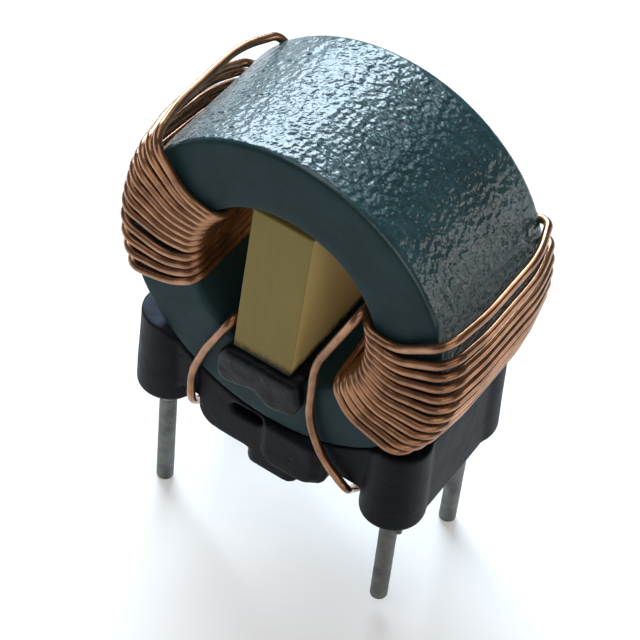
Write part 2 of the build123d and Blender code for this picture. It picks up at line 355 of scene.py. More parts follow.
@dataclass(frozen=True)
class CoatFinish:
    """Glossy teal coating with an orange-peel skin outside and smoother faces, whose darker colour is painted
    shade.
    """

    deep: Colour = (0.011, 0.038, 0.046)
    fresh: Colour = (0.026, 0.080, 0.092)
    # The faces' colours are a darker copy of the coat's colour: painted shade.
    face: Colour = (0.0195, 0.047, 0.052)
    face_deep: Colour = (0.012, 0.033, 0.037)
    skin_radius: Span = (9.86 * MM, 9.93 * MM)
    smooth_rim: Span = (4.95 * MM, 4.45 * MM)
    skin_clouds: Span = (0.35, 0.7)
    face_clouds: Span = (0.3, 0.7)
    peel_size: float = 0.36 * MM
    peel_depth: float = 0.14 * MM
    rim_peel: float = 0.15
    cloud_size: float = 3.5 * MM
    cloud_depth: float = 0.08 * MM
    grit_size: float = 0.12 * MM
    grit_depth: float = 0.012 * MM
    nib_spacing: float = 1.3 * MM
    nib_edge: Span = (0.16, 0.05)

    def material(self) -> bpy.types.Material:
        """Builds the coating: the rough bright skin outside and the duller faces, darkened with painted
        shade.

        Returns:
            The material.
        """
        sh = Shader("teal_coating")
        _, y, _ = sh.axes()
        cloud = sh.grain(self.cloud_size, 3.0, 0.6)
        grit = sh.grain(self.grit_size, 2.0, 0.6)
        inner = y.math("ABSOLUTE").step(*self.smooth_rim)
        peel = sh.grain(self.peel_size, 1.0, 0.4) * (self.rim_peel + inner * (1 - self.rim_peel))
        skin = sh.principled(
            Base_Color=sh.blend(cloud.step(*self.skin_clouds) * 0.6 + peel * 0.4, self.deep, self.fresh),
            Roughness=0.23 + (cloud - 0.5) * 0.12,
            Normal=sh.relief(grit, self.grit_depth, sh.relief(peel, self.peel_depth)),
            Specular_IOR_Level=0.65,
        )
        nibs = sh.cells(self.nib_spacing).step(*self.nib_edge)
        waves = sh.relief(cloud, self.cloud_depth)
        # The faces' surface, in the darker colours that paint shade on them.
        face = sh.principled(
            Base_Color=sh.blend(cloud.step(*self.face_clouds), self.face_deep, self.face),
            Roughness=0.44 + grit * 0.08,
            Normal=sh.relief(grit * 0.3 + nibs * 0.7, self.grit_depth, waves),
            Specular_IOR_Level=0.12,
        )
        return sh.finish(sh.mixed(sh.from_axis().step(*self.skin_radius), face, skin))


@dataclass(frozen=True)
class WireFinish:
    """Enamelled copper under a clear film, shinier outside the core and tinned at its hooks."""

    dark: Colour = (0.190, 0.082, 0.042)
    bright: Colour = (0.460, 0.230, 0.118)
    tinned: Colour = (0.08, 0.078, 0.070)
    tinned_height: Span = (1.5 * MM, 1.15 * MM)
    shiny_radius: Span = (9.9 * MM, 10.4 * MM)
    patch_size: float = 1.6 * MM
    patches: Span = (0.3, 0.72)
    drawn_size: float = 0.35 * MM
    drawn_depth: float = 0.0015 * MM

    def material(self) -> bpy.types.Material:
        """Builds the enamelled wire.

        Returns:
            The material.
        """
        sh = Shader("enamelled_copper")
        _, _, z = sh.axes()
        outside = sh.from_axis().step(*self.shiny_radius)
        patches = sh.grain(self.patch_size, 3.0, 0.6)
        drawn = sh.grain(self.drawn_size, 2.0, 0.5)
        copper = sh.blend(patches.step(*self.patches) * 0.8 + drawn * 0.2, self.dark, self.bright)
        return sh.surface(
            Base_Color=sh.blend(z.step(*self.tinned_height), copper, self.tinned),
            Metallic=0.88,
            Roughness=0.26 - outside * 0.12 + patches * 0.14,
            Normal=sh.relief(drawn, self.drawn_depth),
            Coat_Weight=0.2,
            Coat_Roughness=0.14,
        )


@dataclass(frozen=True)
class PlasticFinish:
    """Near-black moulded plastic, half matt, with a lighter left ledge, partly dusty and partly painted light
    from above.
    """

    black: Colour = (0.0028, 0.0036, 0.0056)
    worn: Colour = (0.0070, 0.0082, 0.0120)
    # Colour of the left ledge's top: partly a dusty film, partly painted light from above.
    dust_and_sheen: Colour = (0.060, 0.069, 0.094)
    cloud_size: float = 2.4 * MM
    cloud_depth: float = 0.10 * MM
    clouds: Span = (0.35, 0.75)
    grit_size: float = 0.16 * MM
    pit_spacing: float = 2.1 * MM
    pit_edge: Span = (0.10, 0.045)
    pit_depth: float = 0.05 * MM
    dust_and_sheen_facing: Span = (0.55, 0.95)
    dust_and_sheen_height: Span = (6.2 * MM, 7.4 * MM)
    dust_and_sheen_left: Span = (-4.5 * MM, -5.0 * MM)
    dust_and_sheen_clouds: Span = (0.3, 0.6)
    thin_dust_and_sheen: float = 0.35

    def material(self) -> bpy.types.Material:
        """Builds the plastic.

        Returns:
            The material.
        """
        sh = Shader("black_moulding")
        cloud = sh.grain(self.cloud_size, 4.0, 0.62)
        grit = sh.grain(self.grit_size, 3.0, 0.6)
        pits = sh.cells(self.pit_spacing).step(*self.pit_edge)
        x, _, z = sh.axes()
        # The upward faces of the left ledge near the top are lightened: partly a dusty film, partly painted
        # light from above.
        ledge = sh.facing("Z").step(*self.dust_and_sheen_facing) * z.step(*self.dust_and_sheen_height)
        uneven = self.thin_dust_and_sheen + cloud.step(*self.dust_and_sheen_clouds) * (1 - self.thin_dust_and_sheen)
        dust_and_sheen = ledge * x.step(*self.dust_and_sheen_left) * uneven
        base = sh.blend(cloud.step(*self.clouds), self.black, self.worn)
        waves = sh.relief(cloud, self.cloud_depth)
        return sh.surface(
            Base_Color=sh.blend(dust_and_sheen, base, self.dust_and_sheen),
            Roughness=0.42 + cloud * 0.18 + dust_and_sheen * 0.2,
            Normal=sh.relief(grit * 0.12 + (1 - pits) * 0.88, self.pit_depth, waves),
            Specular_IOR_Level=0.10,
        )


@dataclass(frozen=True)
class FibreFinish:
    """A thick fibre plate: olive-cream cut ends with faint upright plies, and broad faces made paler with
    painted light.
    """

    olive: Colour = (0.265, 0.194, 0.056)
    cream: Colour = (0.383, 0.285, 0.095)
    # The broad faces' colours are pushed near white: painted light that lifts the shade on them.
    painted_lit_face_dark: Colour = (0.860, 0.630, 0.235)
    painted_lit_face_light: Colour = (0.960, 0.730, 0.300)
    smear: Colour = (0.012, 0.012, 0.012)
    smear_height: Span = (10.3 * MM, 9.5 * MM)
    smear_size: float = 0.5 * MM
    smear_swing: float = 0.8 * MM
    broad_face: Span = (0.8, 1.0)
    ply_size: float = 0.30 * MM
    ply_stretch: Triple = (1.0, 1.0, 0.07)
    plies: Span = (0.1, 0.9)
    cloud_size: float = 2.8 * MM
    cloud_stretch: Triple = (1.0, 1.0, 0.3)
    fuzz_size: float = 0.08 * MM
    fuzz_depth: float = 0.012 * MM
    glow_reach: Triple = (0.0010, 0.0007, 0.0003)

    def material(self) -> bpy.types.Material:
        """Builds the plate's material.

        Returns:
            The material.
        """
        sh = Shader("fibre_plate")
        plies = sh.grain(self.ply_size, 3.0, 0.6, sh.stretched(self.ply_stretch))
        cloud = sh.grain(self.cloud_size, 2.0, 0.5, sh.stretched(self.cloud_stretch))
        fuzz = sh.grain(self.fuzz_size, 2.0, 0.6)
        mottle = 0.25 + plies.step(*self.plies) * 0.25 + cloud * 0.35
        ends = sh.blend(mottle, self.olive, self.cream)
        # The broad faces get the pale colours, painted light over the shade the ring casts on them.
        faces = sh.blend(mottle, self.painted_lit_face_dark, self.painted_lit_face_light)
        plate = sh.blend(sh.facing("X").math("ABSOLUTE").step(*self.broad_face), ends, faces)
        _, _, z = sh.axes()
        ragged = z + (sh.grain(self.smear_size, 3.0, 0.6) - 0.5) * self.smear_swing
        return sh.surface(
            Base_Color=sh.blend(ragged.step(*self.smear_height), plate, self.smear),
            Roughness=0.62 - plies * 0.12,
            Normal=sh.relief(plies * 0.6 + fuzz * 0.4, self.fuzz_depth),
            Specular_IOR_Level=0.2,
            Subsurface_Weight=0.12,
            Subsurface_Radius=self.glow_reach,
            Subsurface_Scale=1.0,
        )


@dataclass(frozen=True)
class GlueFinish:
    """Set black adhesive: flowed, half glossy, with a few light specks."""

    black: Colour = (0.0036, 0.0042, 0.0058)
    grey: Colour = (0.0095, 0.0108, 0.0138)
    speck: Colour = (0.09, 0.13, 0.13)
    flow_size: float = 0.9 * MM
    flow_depth: float = 0.10 * MM
    flows: Span = (0.3, 0.7)
    grit_size: float = 0.14 * MM
    grit_depth: float = 0.012 * MM
    speck_spacing: float = 0.55 * MM
    speck_edge: Span = (0.12, 0.05)
    speck_flows: Span = (0.55, 0.62)

    def material(self) -> bpy.types.Material:
        """Builds the adhesive.

        Returns:
            The material.
        """
        sh = Shader("black_adhesive")
        flow = sh.grain(self.flow_size, 2.0, 0.5)
        grit = sh.grain(self.grit_size, 2.0, 0.5)
        specks = sh.cells(self.speck_spacing).step(*self.speck_edge) * flow.step(*self.speck_flows)
        base = sh.blend(flow.step(*self.flows), self.black, self.grey)
        return sh.surface(
            Base_Color=sh.blend(specks, base, self.speck),
            Roughness=0.30 + grit * 0.22,
            Normal=sh.relief(grit, self.grit_depth, sh.relief(flow, self.flow_depth)),
            Specular_IOR_Level=0.15,
        )


@dataclass(frozen=True)
class TinFinish:
    """Tinned metal with darker blotches and specks."""

    name: str = "tinned_pin"
    dull: Colour = (0.086, 0.089, 0.083)
    clean: Colour = (0.172, 0.177, 0.166)
    speck: Colour = (0.05, 0.05, 0.045)
    roughness: float = 0.42
    blotch_size: float = 1.1 * MM
    blotches: Span = (0.3, 0.7)
    speck_spacing: float = 0.8 * MM
    speck_edge: Span = (0.14, 0.04)
    lump_size: float = 0.55 * MM
    lump_depth: float = 0.05 * MM
    grit_size: float = 0.1 * MM
    grit_depth: float = 0.008 * MM

    def material(self) -> bpy.types.Material:
        """Builds the tin.

        Returns:
            The material.
        """
        sh = Shader(self.name)
        blotch = sh.grain(self.blotch_size, 4.0, 0.65)
        lumps = sh.relief(sh.grain(self.lump_size, 2.0, 0.5), self.lump_depth)
        specks = sh.cells(self.speck_spacing).step(*self.speck_edge)
        metal = sh.blend(blotch.step(*self.blotches), self.dull, self.clean)
        return sh.surface(
            Base_Color=sh.blend(specks * 0.7, metal, self.speck),
            Metallic=0.85,
            Roughness=self.roughness + blotch * 0.2,
            Normal=sh.relief(sh.grain(self.grit_size), self.grit_depth, lumps),
        )


@dataclass(frozen=True)
class FloorFinish:
    """Plain pale floor, lifted towards white where it is seen and duller where it only lights the part."""

    pale: Colour = (0.83, 0.80, 0.79)
    dull: Colour = (0.55, 0.55, 0.55)
    lift: Colour = (0.28, 0.28, 0.28)

    def material(self) -> bpy.types.Material:
        """Builds the floor's material.

        Returns:
            The material.
        """
        sh = Shader("pale_floor")
        seen = sh.seen()
        return sh.surface(
            Base_Color=sh.blend(seen, self.dull, self.pale),
            Roughness=0.9,
            Specular_IOR_Level=0.1,
            Emission_Color=sh.blend(seen, (0.0, 0.0, 0.0), self.lift),
            Emission_Strength=1.0,
        )


# Mesh helpers


def added(name: str, data: bpy.types.ID) -> bpy.types.Object:
    """Puts new data in the scene as an object.

    Args:
        name: the object's name.
        data: its mesh, curve, lamp or camera.

    Returns:
        The object.
    """
    made = bpy.data.objects.new(name, data)
    bpy.context.scene.collection.objects.link(made)
    return made


def finished(
    bm: bmesh.types.BMesh, name: str, material: bpy.types.Material, slot: Optional[Slot] = None,
    stands_for: Sequence[str] = (),
) -> bpy.types.Object:
    """Turns a bmesh into a smooth object, which rides on the part where it has a slot.

    Args:
        bm: the mesh, in the part's frame; it is freed.
        name: the object's name.
        material: its finish.
        slot: the record's slot of that finish, for a piece of the part.
        stands_for: the nodes that the piece replaces.

    Returns:
        The new object.
    """
    mesh = bpy.data.meshes.new(name)
    bm.to_mesh(mesh)
    bm.free()
    mesh.materials.append(material)
    mesh.polygons.foreach_set("use_smooth", [True] * len(mesh.polygons))
    piece = added(name, mesh)
    if slot is not None:
        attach(piece, BODY)
        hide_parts(*stands_for)
        log.info("%s: %d faces", name, len(mesh.polygons))
    return piece


def merged_copy(node: str) -> bmesh.types.BMesh:
    """A closed copy of a node's mesh.

    Args:
        node: the node's name.

    Returns:
        The copy, its loose triangles merged.
    """
    bm = bmesh.new()
    bm.from_mesh(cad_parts[node].data)
    bmesh.ops.remove_doubles(bm, verts=bm.verts, dist=WELD)
    return bm


def shape_of(holder: bpy.types.Object) -> bmesh.types.BMesh:
    """Takes the shape that an object's curve or modifiers give.

    Args:
        holder: the object; it is removed.

    Returns:
        The shape.
    """
    depsgraph = bpy.context.evaluated_depsgraph_get()
    mesh = bpy.data.meshes.new_from_object(holder.evaluated_get(depsgraph))
    bpy.data.objects.remove(holder)
    bm = bmesh.new()
    bm.from_mesh(mesh)
    bpy.data.meshes.remove(mesh)
    return bm


def remeshed(bm: bmesh.types.BMesh, voxel: float, smoothing: int) -> bmesh.types.BMesh:
    """An even, softened skin round a closed mesh.

    Args:
        bm: the closed mesh; it is freed.
        voxel: the size of the new faces.
        smoothing: how many times it is smoothed.

    Returns:
        The new mesh.
    """
    mesh = bpy.data.meshes.new("rough")
    bm.to_mesh(mesh)
    bm.free()
    holder = added("rough", mesh)
    skin = holder.modifiers.new("skin", "REMESH")
    skin.mode = "VOXEL"
    skin.voxel_size = voxel
    fresh = shape_of(holder)
    bpy.data.meshes.remove(mesh)
    for _ in range(smoothing):
        bmesh.ops.smooth_vert(
            fresh, verts=fresh.verts, factor=0.5, use_axis_x=True, use_axis_y=True, use_axis_z=True
        )
    return fresh


def round_post(node: str, foot: float, top: float, sides: int, rings: int) -> bmesh.types.BMesh:
    """A round post in the place of a node and as tall, with its flank cut into rings.

    Args:
        node: the node's name.
        foot: the post's radius at its foot.
        top: its radius at its top.
        sides: how many sides it has.
        rings: how many cuts go round it.

    Returns:
        The post.
    """
    low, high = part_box(node)
    length = high.z - low.z
    bm = bmesh.new()
    bmesh.ops.create_cone(bm, cap_ends=True, segments=sides, radius1=foot, radius2=top, depth=length)
    bmesh.ops.translate(bm, verts=bm.verts, vec=(low + high) / 2)
    flank = [e for e in bm.edges if abs(e.verts[0].co.z - e.verts[1].co.z) > length / 2]
    bmesh.ops.subdivide_edges(bm, edges=flank, cuts=rings, use_grid_fill=True)
    return bm


def push(bm: bmesh.types.BMesh, height: Callable[[Vector], float]) -> None:
    """Moves each vertex along its normal.

    Args:
        bm: the mesh.
        height: how far, for a place.
    """
    bm.normal_update()
    moves = [(v, v.normal * height(v.co)) for v in bm.verts]
    for vertex, move in moves:
        vertex.co += move


def share(value: float) -> float:
    """A value held between 0 and 1."""
    return min(1.0, max(0.0, value))


# Pieces


@dataclass
class ToroidCore:
    """The coated ring core.

    fine_size and broad_size are shares of peel_size, and plain_steps says how much wider the plain steps are.
    """

    radius: float = 10.0 * MM
    bore: float = 5.7 * MM
    length: float = 10.14 * MM
    edge: float = 0.30 * MM
    edge_segments: int = 7
    bore_edge: float = 0.35 * MM
    bore_segments: int = 4
    straight: float = 4
    steps: int = 600
    peel_step: float = 0.115 * MM
    plain_steps: float = 4
    peel_size: float = 0.42 * MM
    peel_depth: float = 0.08 * MM
    peel_level: float = 0.55
    peel_swing: float = 0.8
    coarse_share: float = 0.62
    fine_size: float = 0.55
    fine_shift: Triple = (7.0, 3.0, 1.0)
    broad_size: float = 9
    broad_swing: float = 0.25
    face_peel: float = 0.10
    rim_peel: float = 0.2
    smooth_rim: float = 0.3 * MM
    finish: CoatFinish = CoatFinish()

    def section(self, bm: bmesh.types.BMesh) -> None:
        """Draws the ring's section as a closed line of short edges, the shortest on its outer side.

        Args:
            bm: the mesh to draw it in.
        """
        middle = (self.radius + self.bore) / 2
        bmesh.ops.create_grid(bm, x_segments=1, y_segments=1, size=0.5)
        bmesh.ops.scale(bm, verts=bm.verts, vec=(self.radius - self.bore, self.length, 1))
        bmesh.ops.translate(bm, verts=bm.verts, vec=(middle, 0, 0))
        for outer, offset, segments in (
            (True, self.edge, self.edge_segments),
            (False, self.bore_edge, self.bore_segments),
        ):
            bmesh.ops.bevel(
                bm, geom=[v for v in bm.verts if (v.co.x > middle) is outer], offset=offset,
                segments=segments, profile=0.5, affect="VERTICES", material=-1,
            )
        bmesh.ops.delete(bm, geom=bm.faces[:], context="FACES_ONLY")
        for edge in [e for e in bm.edges if e.calc_length() > self.straight * self.edge]:
            outside = min(v.co.x for v in edge.verts) > self.radius - self.edge / 2
            step = self.peel_step if outside else self.plain_steps * self.peel_step
            bmesh.ops.subdivide_edges(bm, edges=[edge], cuts=int(edge.calc_length() / step))

    def peel(self, place: Vector) -> float:
        """Depth of the orange-peel skin at a place, inwards only.

        Args:
            place: the place, in the ring's own frame.

        Returns:
            A height of zero or less.
        """
        radius = (place.x**2 + place.z**2) ** 0.5
        outside = share((radius - self.radius + self.edge) / self.edge)
        inner = share((self.length / 2 - self.smooth_rim - abs(place.y)) / self.smooth_rim)
        coarse = noise.noise(place / self.peel_size)
        fine = noise.noise(place / (self.fine_size * self.peel_size) + Vector(self.fine_shift))
        broad = noise.noise(place / (self.broad_size * self.peel_size))
        rise = self.coarse_share * coarse + (1 - self.coarse_share) * fine
        across = self.rim_peel + (1 - self.rim_peel) * inner
        strength = self.face_peel + (1 - self.face_peel) * outside * across
        depth = self.peel_level - self.peel_swing * rise + self.broad_swing * broad
        return -self.peel_depth * strength * depth

    def build(self) -> None:
        """Spins the ring, gives it its skin and dresses it."""
        bm = bmesh.new()
        self.section(bm)
        bmesh.ops.spin(
            bm, geom=bm.verts[:] + bm.edges[:], axis=(0, 1, 0), cent=(0, 0, 0), angle=2 * pi,
            steps=self.steps, use_merge=True,
        )
        bmesh.ops.recalc_face_normals(bm, faces=bm.faces)
        push(bm, self.peel)
        bmesh.ops.translate(bm, verts=bm.verts, vec=(0, 0, CORE_Z))
        finished(bm, "core_coating", self.finish.material(), Slot.COAT, ["toroid_core"])


@dataclass(frozen=True)
class Corner:
    """A corner of a wire's route, with the radius of its bend."""

    place: Vector
    bend: float


@dataclass(frozen=True)
class Group:
    """Turns that lie side by side, by their angles at the core's front edge."""

    turns: int
    first: float
    step: float


@dataclass(frozen=True)
class Lay:
    """How the turns of one winding lie, with angles in degrees round the core's axis.

    Attributes:
        groups: its turns, in groups with a gap between them.
        first_bore: the first turn's angle in the bore.
        sag: how far a turn sags on the front face, and sag_fade how much less the last one does.
        crowd: how far a turn leans towards its group, for each turn that lies between.
        slant: how much further each turn is turned back on its way over the outside.
        bow: how far a turn stands off the outside at least.
        stub: how far the front end hangs below its hook.
    """

    groups: tuple[Group, ...]
    first_bore: float
    sag: float
    sag_fade: float
    crowd: float
    slant: float
    bow: float
    stub: float


LAYS = {
    Side.LEFT: Lay(
        groups=(Group(4, 199.0, 6.2), Group(8, 174.0, 5.0)), first_bore=199.1, sag=-6.0, sag_fade=0.0,
        crowd=0.5, slant=1.8, bow=0.3 * MM, stub=0.0,
    ),
    Side.RIGHT: Lay(
        groups=(Group(1, 20.5, 0.0), Group(11, 13.5, 5.05)), first_bore=18.6, sag=8.6, sag_fade=1.2,
        crowd=0.0, slant=0.0, bow=0.62 * MM, stub=0.75 * MM,
    ),
}


@dataclass
class Winding:
    """One winding: twelve turns of enamelled wire and its two leads.

    The leads' places on the front face are across from the middle and up from the core's axis, in
    millimetres, and foot is where a lead on the right leaves the base.
    """

    side: Side
    core: ToroidCore
    wire_radius: float = 0.25 * MM
    gap: float = 0.04 * MM
    bore_step: float = 5.6
    bore_crowd: float = 0.4
    slant_most: float = 14.4
    face_stray: float = 0.7
    back_stray: float = 0.4
    middle_radius: float = 7.3 * MM
    bow_y: float = 2.6 * MM
    top_bow: float = 1.1 * MM
    bow_fade: float = 0.15 * MM
    bow_level: float = 0.93
    bow_stray: float = 0.07
    bow_at_edge: float = 0.5
    bow_over_face: float = 0.25
    bend_bore: float = 0.7 * MM
    bend_outside: float = 0.85 * MM
    bend_front_edge: float = 1.2 * MM
    bend_run: float = 10.0 * MM
    bend_middle: float = 5.0 * MM
    bend_lead: float = 6.0 * MM
    bend_hook: float = 0.45 * MM
    bend_share: float = 0.46
    end_handle: float = 0.3
    outer_handle: float = 0.02
    lead_gap: float = 0.08 * MM
    hook_gap: float = 0.01 * MM
    hook_z: float = 1.1 * MM
    past_pin: float = 0.35 * MM
    stub_lean: float = 0.05 * MM
    under_x: float = 5.5 * MM
    foot: Triple = (5.2 * MM, -4.3 * MM, 1.75 * MM)
    upper_lead: tuple[Span, ...] = ((5.5, -11.5), (3.75, -10.0), (2.64, -7.5), (2.66, -3.0), (4.75, 2.1))
    lower_lead: tuple[Span, ...] = ((5.0, -11.45), (5.07, -9.1), (4.25, -6.6), (2.85, -3.6))
    ring_sides: int = 5
    bend_steps: int = 8
    weld: float = 0.0005 * MM
    finish: WireFinish = WireFinish()

    def __post_init__(self) -> None:
        """Works out where the wire's centre runs."""
        self.lay = LAYS[self.side]
        self.turns = sum(group.turns for group in self.lay.groups)
        clear = self.wire_radius + self.gap
        self.run_y = self.core.length / 2 + clear
        self.lead_y = self.run_y + self.lead_gap
        self.bore_run = self.core.bore - clear
        self.outer_run = self.core.radius + clear
        self.hook = PIN_RADIUS + self.wire_radius + self.hook_gap

    def front_angles(self) -> list[float]:
        """Angle of each turn at the core's front edge, in degrees."""
        return [group.first - group.step * k for group in self.lay.groups for k in range(group.turns)]

    def ring_place(self, radius: float, angle: float, y: float) -> Vector:
        """A place given by its distance and angle from the core's axis."""
        return Vector((radius * cos(radians(angle)), y, CORE_Z + radius * sin(radians(angle))))

    def stray(self, turn: int, what: Stray) -> float:
        """A small fixed unevenness of a turn, from -1 to 1."""
        return noise.noise(Vector((turn * 1.7 + 0.3, what.value * 5.1 + 0.7, 2.5 * self.side.value)))

    def crowding(self, turn: int) -> float:
        """How far a turn leans: the first group towards its last turn, the second towards its middle.

        Args:
            turn: the turn's number.

        Returns:
            The lean in degrees.
        """
        first = self.lay.groups[0].turns
        last = self.turns - 1
        return self.lay.crowd * (turn - (first - 1) if turn < first else turn - (first + last) / 2)

    def bow(self, turn: int) -> float:
        """How far a turn bows off the core on its outer run, most at the top of the winding.

        Args:
            turn: the turn's number.

        Returns:
            The distance in metres.
        """
        from_top = turn if self.side is Side.RIGHT else self.turns - 1 - turn
        even = max(self.lay.bow, self.top_bow - self.bow_fade * from_top)
        return even * (self.bow_level + self.bow_stray * self.stray(turn, Stray.BOW))

    def outer_corners(self, turn: int, front: float) -> list[Corner]:
        """Corners of a turn over the outside of the core.

        Args:
            turn: the turn's number.
            front: its angle at the front edge.

        Returns:
            Its corners from the back edge to the front edge.
        """
        slant = min(self.lay.slant * turn, self.slant_most) if turn < self.turns - 1 else 0.0
        back = front + slant + self.back_stray * self.stray(turn, Stray.BACK)
        bow = self.bow(turn)
        bowed = self.outer_run + bow
        part = (self.run_y - self.bow_y) / (2 * self.run_y)
        near_back, near_front = back + (front - back) * part, front + (back - front) * part
        edge = self.outer_run + self.bow_at_edge * bow
        edge_y = -self.run_y - self.bow_over_face * bow
        return [
            Corner(self.ring_place(self.outer_run, back, self.run_y), self.bend_outside),
            Corner(self.ring_place(bowed, near_back, self.bow_y), self.bend_run),
            Corner(self.ring_place(bowed, near_front, -self.bow_y), self.bend_run),
            Corner(self.ring_place(edge, front, edge_y), self.bend_front_edge),
        ]

    def wound(self) -> list[Corner]:
        """Leads the wire round all its turns.

        Returns:
            The corners, from the back face to the bore.
        """
        corners = []
        for k, front in enumerate(self.front_angles()):
            lean = self.crowding(k)
            bore = self.lay.first_bore - self.bore_step * k + self.bore_crowd * lean
            sag = self.lay.sag - self.lay.sag_fade * k / (self.turns - 1)
            middle = (bore + front) / 2 - sag + lean + self.face_stray * self.stray(k, Stray.FACE)
            corners += self.outer_corners(k, front)
            corners += [
                Corner(self.ring_place(self.middle_radius, middle, -self.run_y), self.bend_middle),
                Corner(self.ring_place(self.bore_run, bore, -self.run_y), self.bend_bore),
                Corner(self.ring_place(self.bore_run, bore, self.run_y), self.bend_bore),
            ]
        return corners

    @staticmethod
    def face_place(across: float, up: float, out: float) -> Vector:
        """A place before the front face, out metres from the middle plane."""
        return Vector((across * MM, -out, CORE_Z + up * MM))

    def lead(self, side: int, upper: bool, stub: float) -> list[Corner]:
        """A front lead, from its cut end at the pin up to the bore.

        Args:
            side: -1 or 1, the side of its pin.
            upper: whether it comes from the top of the bore.
            stub: how far its end hangs below the hook.

        Returns:
            Its corners.
        """
        beside, behind = side * PIN_X + side * self.hook, -PIN_Y + self.hook
        end = Vector((beside, -PIN_Y - self.past_pin, self.hook_z))
        corners = [Corner(end, self.bend_hook)]
        if stub:
            corners.insert(0, Corner(end + Vector((0, -self.stub_lean, -stub)), self.bend_hook))
        foot_x, foot_y, foot_z = self.foot
        corners += [
            Corner(Vector((beside, behind, self.hook_z)), self.bend_hook),
            Corner(Vector((side * self.under_x, behind, self.hook_z)), self.bend_lead),
            Corner(Vector((side * foot_x, foot_y, foot_z)), self.bend_lead),
        ]
        *rising, top = self.upper_lead if upper else self.lower_lead
        for across, up in rising:
            corners.append(Corner(self.face_place(side * across, up, self.lead_y), self.bend_lead))
        across, up = top
        corners.append(Corner(self.face_place(side * across, up, self.run_y), self.bend_bore))
        return corners

    @staticmethod
    def to_back(lead: list[Corner]) -> list[Corner]:
        """The same lead on the back face, turned half round and run outwards."""
        half_turn = Matrix.Rotation(pi, 3, "Z")
        return [Corner(half_turn @ corner.place, corner.bend) for corner in reversed(lead)]

    def route(self) -> list[Corner]:
        """Leads the whole wire from its front pin to its back pin.

        Returns:
            Its corners.
        """
        side = self.side.value
        right = self.side is Side.RIGHT
        front = self.lead(side, right, self.lay.stub)
        back = self.to_back(self.lead(-side, not right, 0.0))
        last = front[-1]
        entry = Corner(Vector((last.place.x, -last.place.y, last.place.z)), last.bend)
        return front + [entry] + self.wound()[:-1] + back

    def curve(self, name: str) -> bpy.types.Curve:
        """The wire's centre as one smooth curve with a round section.

        Args:
            name: the curve's name.

        Returns:
            The curve.
        """
        route = self.route()
        start = route[0].place
        anchors = [(start, start, start.lerp(route[1].place, self.end_handle))]
        for before, corner, after in zip(route, route[1:], route[2:]):
            anchors += self.bend_anchors(before.place, corner, after.place)
        end = route[-1].place
        anchors.append((end.lerp(route[-2].place, self.end_handle), end, end))
        curve = bpy.data.curves.new(name, "CURVE")
        curve.dimensions = "3D"
        curve.bevel_depth = self.wire_radius
        curve.bevel_resolution = self.ring_sides
        curve.resolution_u = self.bend_steps
        curve.use_fill_caps = True
        spline = curve.splines.new("BEZIER")
        spline.bezier_points.add(len(anchors) - 1)
        for point, (left, place, right) in zip(spline.bezier_points, anchors):
            point.handle_left_type = point.handle_right_type = "FREE"
            point.handle_left, point.co, point.handle_right = left, place, right
        return curve

    def bend_anchors(self, before: Vector, corner: Corner, after: Vector) -> list[Anchor]:
        """The two ends of a bend, each with its handles.

        Args:
            before: the corner before it.
            corner: the corner that is bent.
            after: the corner after it.

        Returns:
            Left handle, place and right handle of each end.
        """
        into = corner.place - before
        out = after - corner.place
        half_turn = into.angle(out) / 2
        room = self.bend_share
        reach = min(corner.bend * tan(half_turn), room * into.length, room * out.length)
        handle = 4 / 3 * tan(half_turn / 2) * reach / tan(half_turn)
        ahead, onward = into.normalized(), out.normalized()
        first = corner.place - ahead * reach
        second = corner.place + onward * reach
        return [
            (first - ahead * into.length * self.outer_handle, first, first + ahead * handle),
            (second - onward * handle, second, second + onward * out.length * self.outer_handle),
        ]

    def build(self) -> None:
        """Makes the wire's mesh and dresses it."""
        node = f"winding_{self.side.name.lower()}"
        name = f"{node}_wire"
        bm = shape_of(added(name, self.curve(name)))
        bmesh.ops.remove_doubles(bm, verts=bm.verts, dist=self.weld)
        bmesh.ops.recalc_face_normals(bm, faces=bm.faces)
        finished(bm, name, self.finish.material(), Slot.WIRE, [node])


@dataclass
class MouldedBase:
    """The base: a softened skin round the moulding, with its slight unevenness."""

    voxel: float = 0.115 * MM
    smoothing: int = 3
    wave_size: float = 1.9 * MM
    wave_depth: float = 0.05 * MM
    finish: PlasticFinish = PlasticFinish()

    def wave(self, place: Vector) -> float:
        """Unevenness of the moulding, inwards only."""
        return -self.wave_depth * (0.5 + 0.5 * noise.noise(place / self.wave_size))

    def build(self) -> None:
        """Makes the skin and dresses it."""
        bm = remeshed(merged_copy("base"), self.voxel, self.smoothing)
        push(bm, self.wave)
        finished(bm, "base_moulding", self.finish.material(), Slot.PLASTIC, ["base"])


@dataclass
class GlueBead:
    """Adhesive at one end of the divider."""

    end: End
    voxel: float = 0.07 * MM
    smoothing: int = 22
    wave_size: float = 1.1 * MM
    wave_depth: float = 0.035 * MM
    finish: GlueFinish = GlueFinish()

    def wave(self, place: Vector) -> float:
        """Slumped unevenness of the bead, inwards only."""
        return -self.wave_depth * (1 - noise.noise(place / self.wave_size))

    def build(self) -> None:
        """Makes the bead and dresses it."""
        node = f"glue_bead_{self.end.value}"
        bm = remeshed(merged_copy(node), self.voxel, self.smoothing)
        push(bm, self.wave)
        finished(bm, f"{node}_flow", self.finish.material(), Slot.GLUE, [node])


